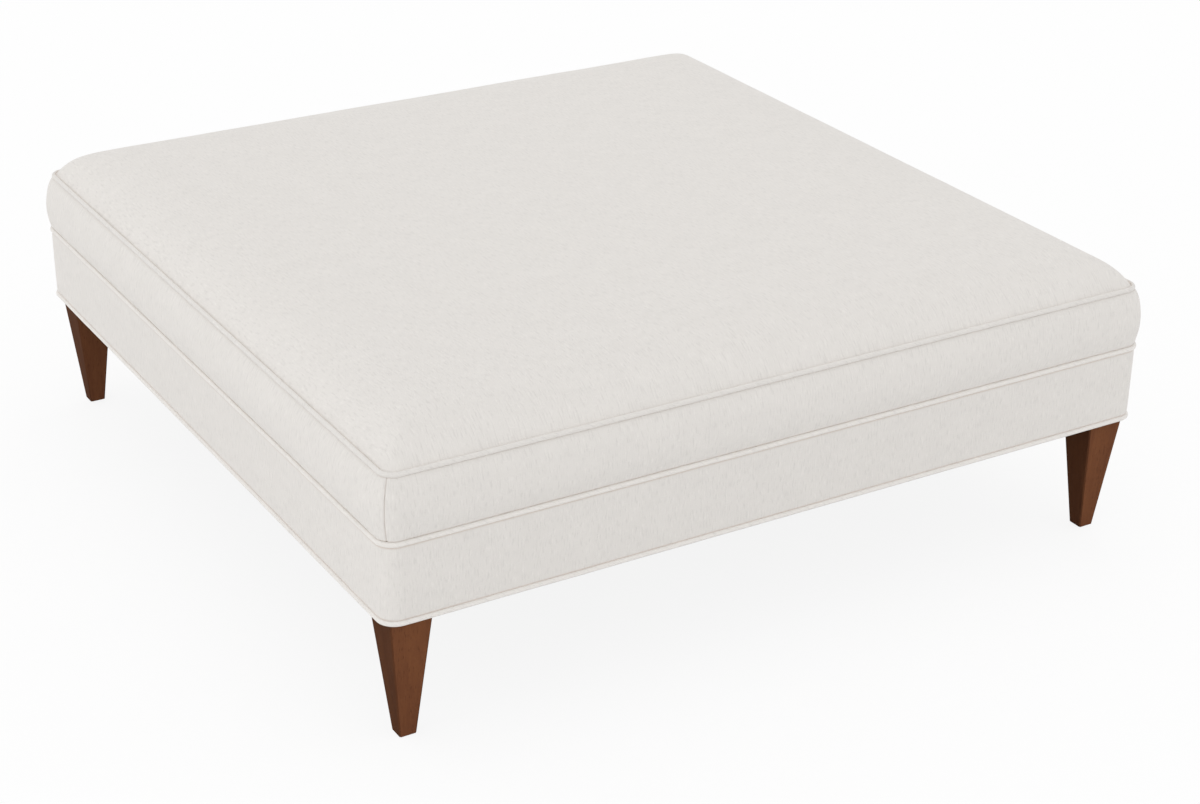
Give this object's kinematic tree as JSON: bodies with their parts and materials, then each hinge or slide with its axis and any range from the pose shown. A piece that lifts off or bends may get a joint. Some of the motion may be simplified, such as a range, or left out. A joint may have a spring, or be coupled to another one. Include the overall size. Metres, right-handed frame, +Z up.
{
  "type": "square cocktail ottoman",
  "caption": "Large square upholstered cocktail ottoman: crowned top, bowed boxing and a lower band edged with self-cloth welts, on tapered wooden legs.",
  "frame": {"origin": "on the floor under the middle of the ottoman", "axes": "+Z up; -Y is the front, the right-hand visible side of the picture, and -X its left-hand visible side"},
  "size_m": [1.2328, 1.2328, 0.4468],
  "materials": {
    "cover_cloth": "matte woven off-white cloth with short slubs",
    "batting": "soft white polyester batting",
    "foam": "open-cell seat foam",
    "webbing": "woven jute webbing",
    "burlap": "plain burlap",
    "dust_cover": "black non-woven cambric",
    "tack_strip": "pressed board strip",
    "leg_wood": "satin walnut stain",
    "frame_wood": "planed, unfinished hardwood",
    "steel": "zinc-plated steel",
    "glide": "smooth moulded nylon"
  },
  "bodies": {
    "root": {"band_padding": "batting", "batting_border": "batting", "batting_top": "batting", "block_screws": "steel", "boxing_back": "cover_cloth", "boxing_front": "cover_cloth", "boxing_left": "cover_cloth", "boxing_right": "cover_cloth", "burlap_deck": "burlap", "centre_brace": "frame_wood", "corner_block_back_left": "frame_wood", "corner_block_back_right": "frame_wood", "corner_block_front_left": "frame_wood", "corner_block_front_right": "frame_wood", "deck_staples": "steel", "dowels": "frame_wood", "dust_cover": "dust_cover", "dust_cover_staples": "steel", "foam_core": "foam", "glides": "glide", "hanger_bolts": "steel", "leg_back_left": "leg_wood", "leg_back_right": "leg_wood", "leg_front_left": "leg_wood", "leg_front_right": "leg_wood", "lower_band": "cover_cloth", "rail_back": "frame_wood", "rail_front": "frame_wood", "rail_left": "frame_wood", "rail_right": "frame_wood", "t_nuts": "steel", "tack_strip": "tack_strip", "top_panel": "cover_cloth", "webbing_across_1": "webbing", "webbing_across_2": "webbing", "webbing_across_3": "webbing", "webbing_across_4": "webbing", "webbing_across_5": "webbing", "webbing_along_1": "webbing", "webbing_along_2": "webbing", "webbing_along_3": "webbing", "webbing_along_4": "webbing", "webbing_along_5": "webbing", "welt_bottom": "cover_cloth", "welt_middle": "cover_cloth", "welt_top": "cover_cloth"}
  },
  "joints": []
}
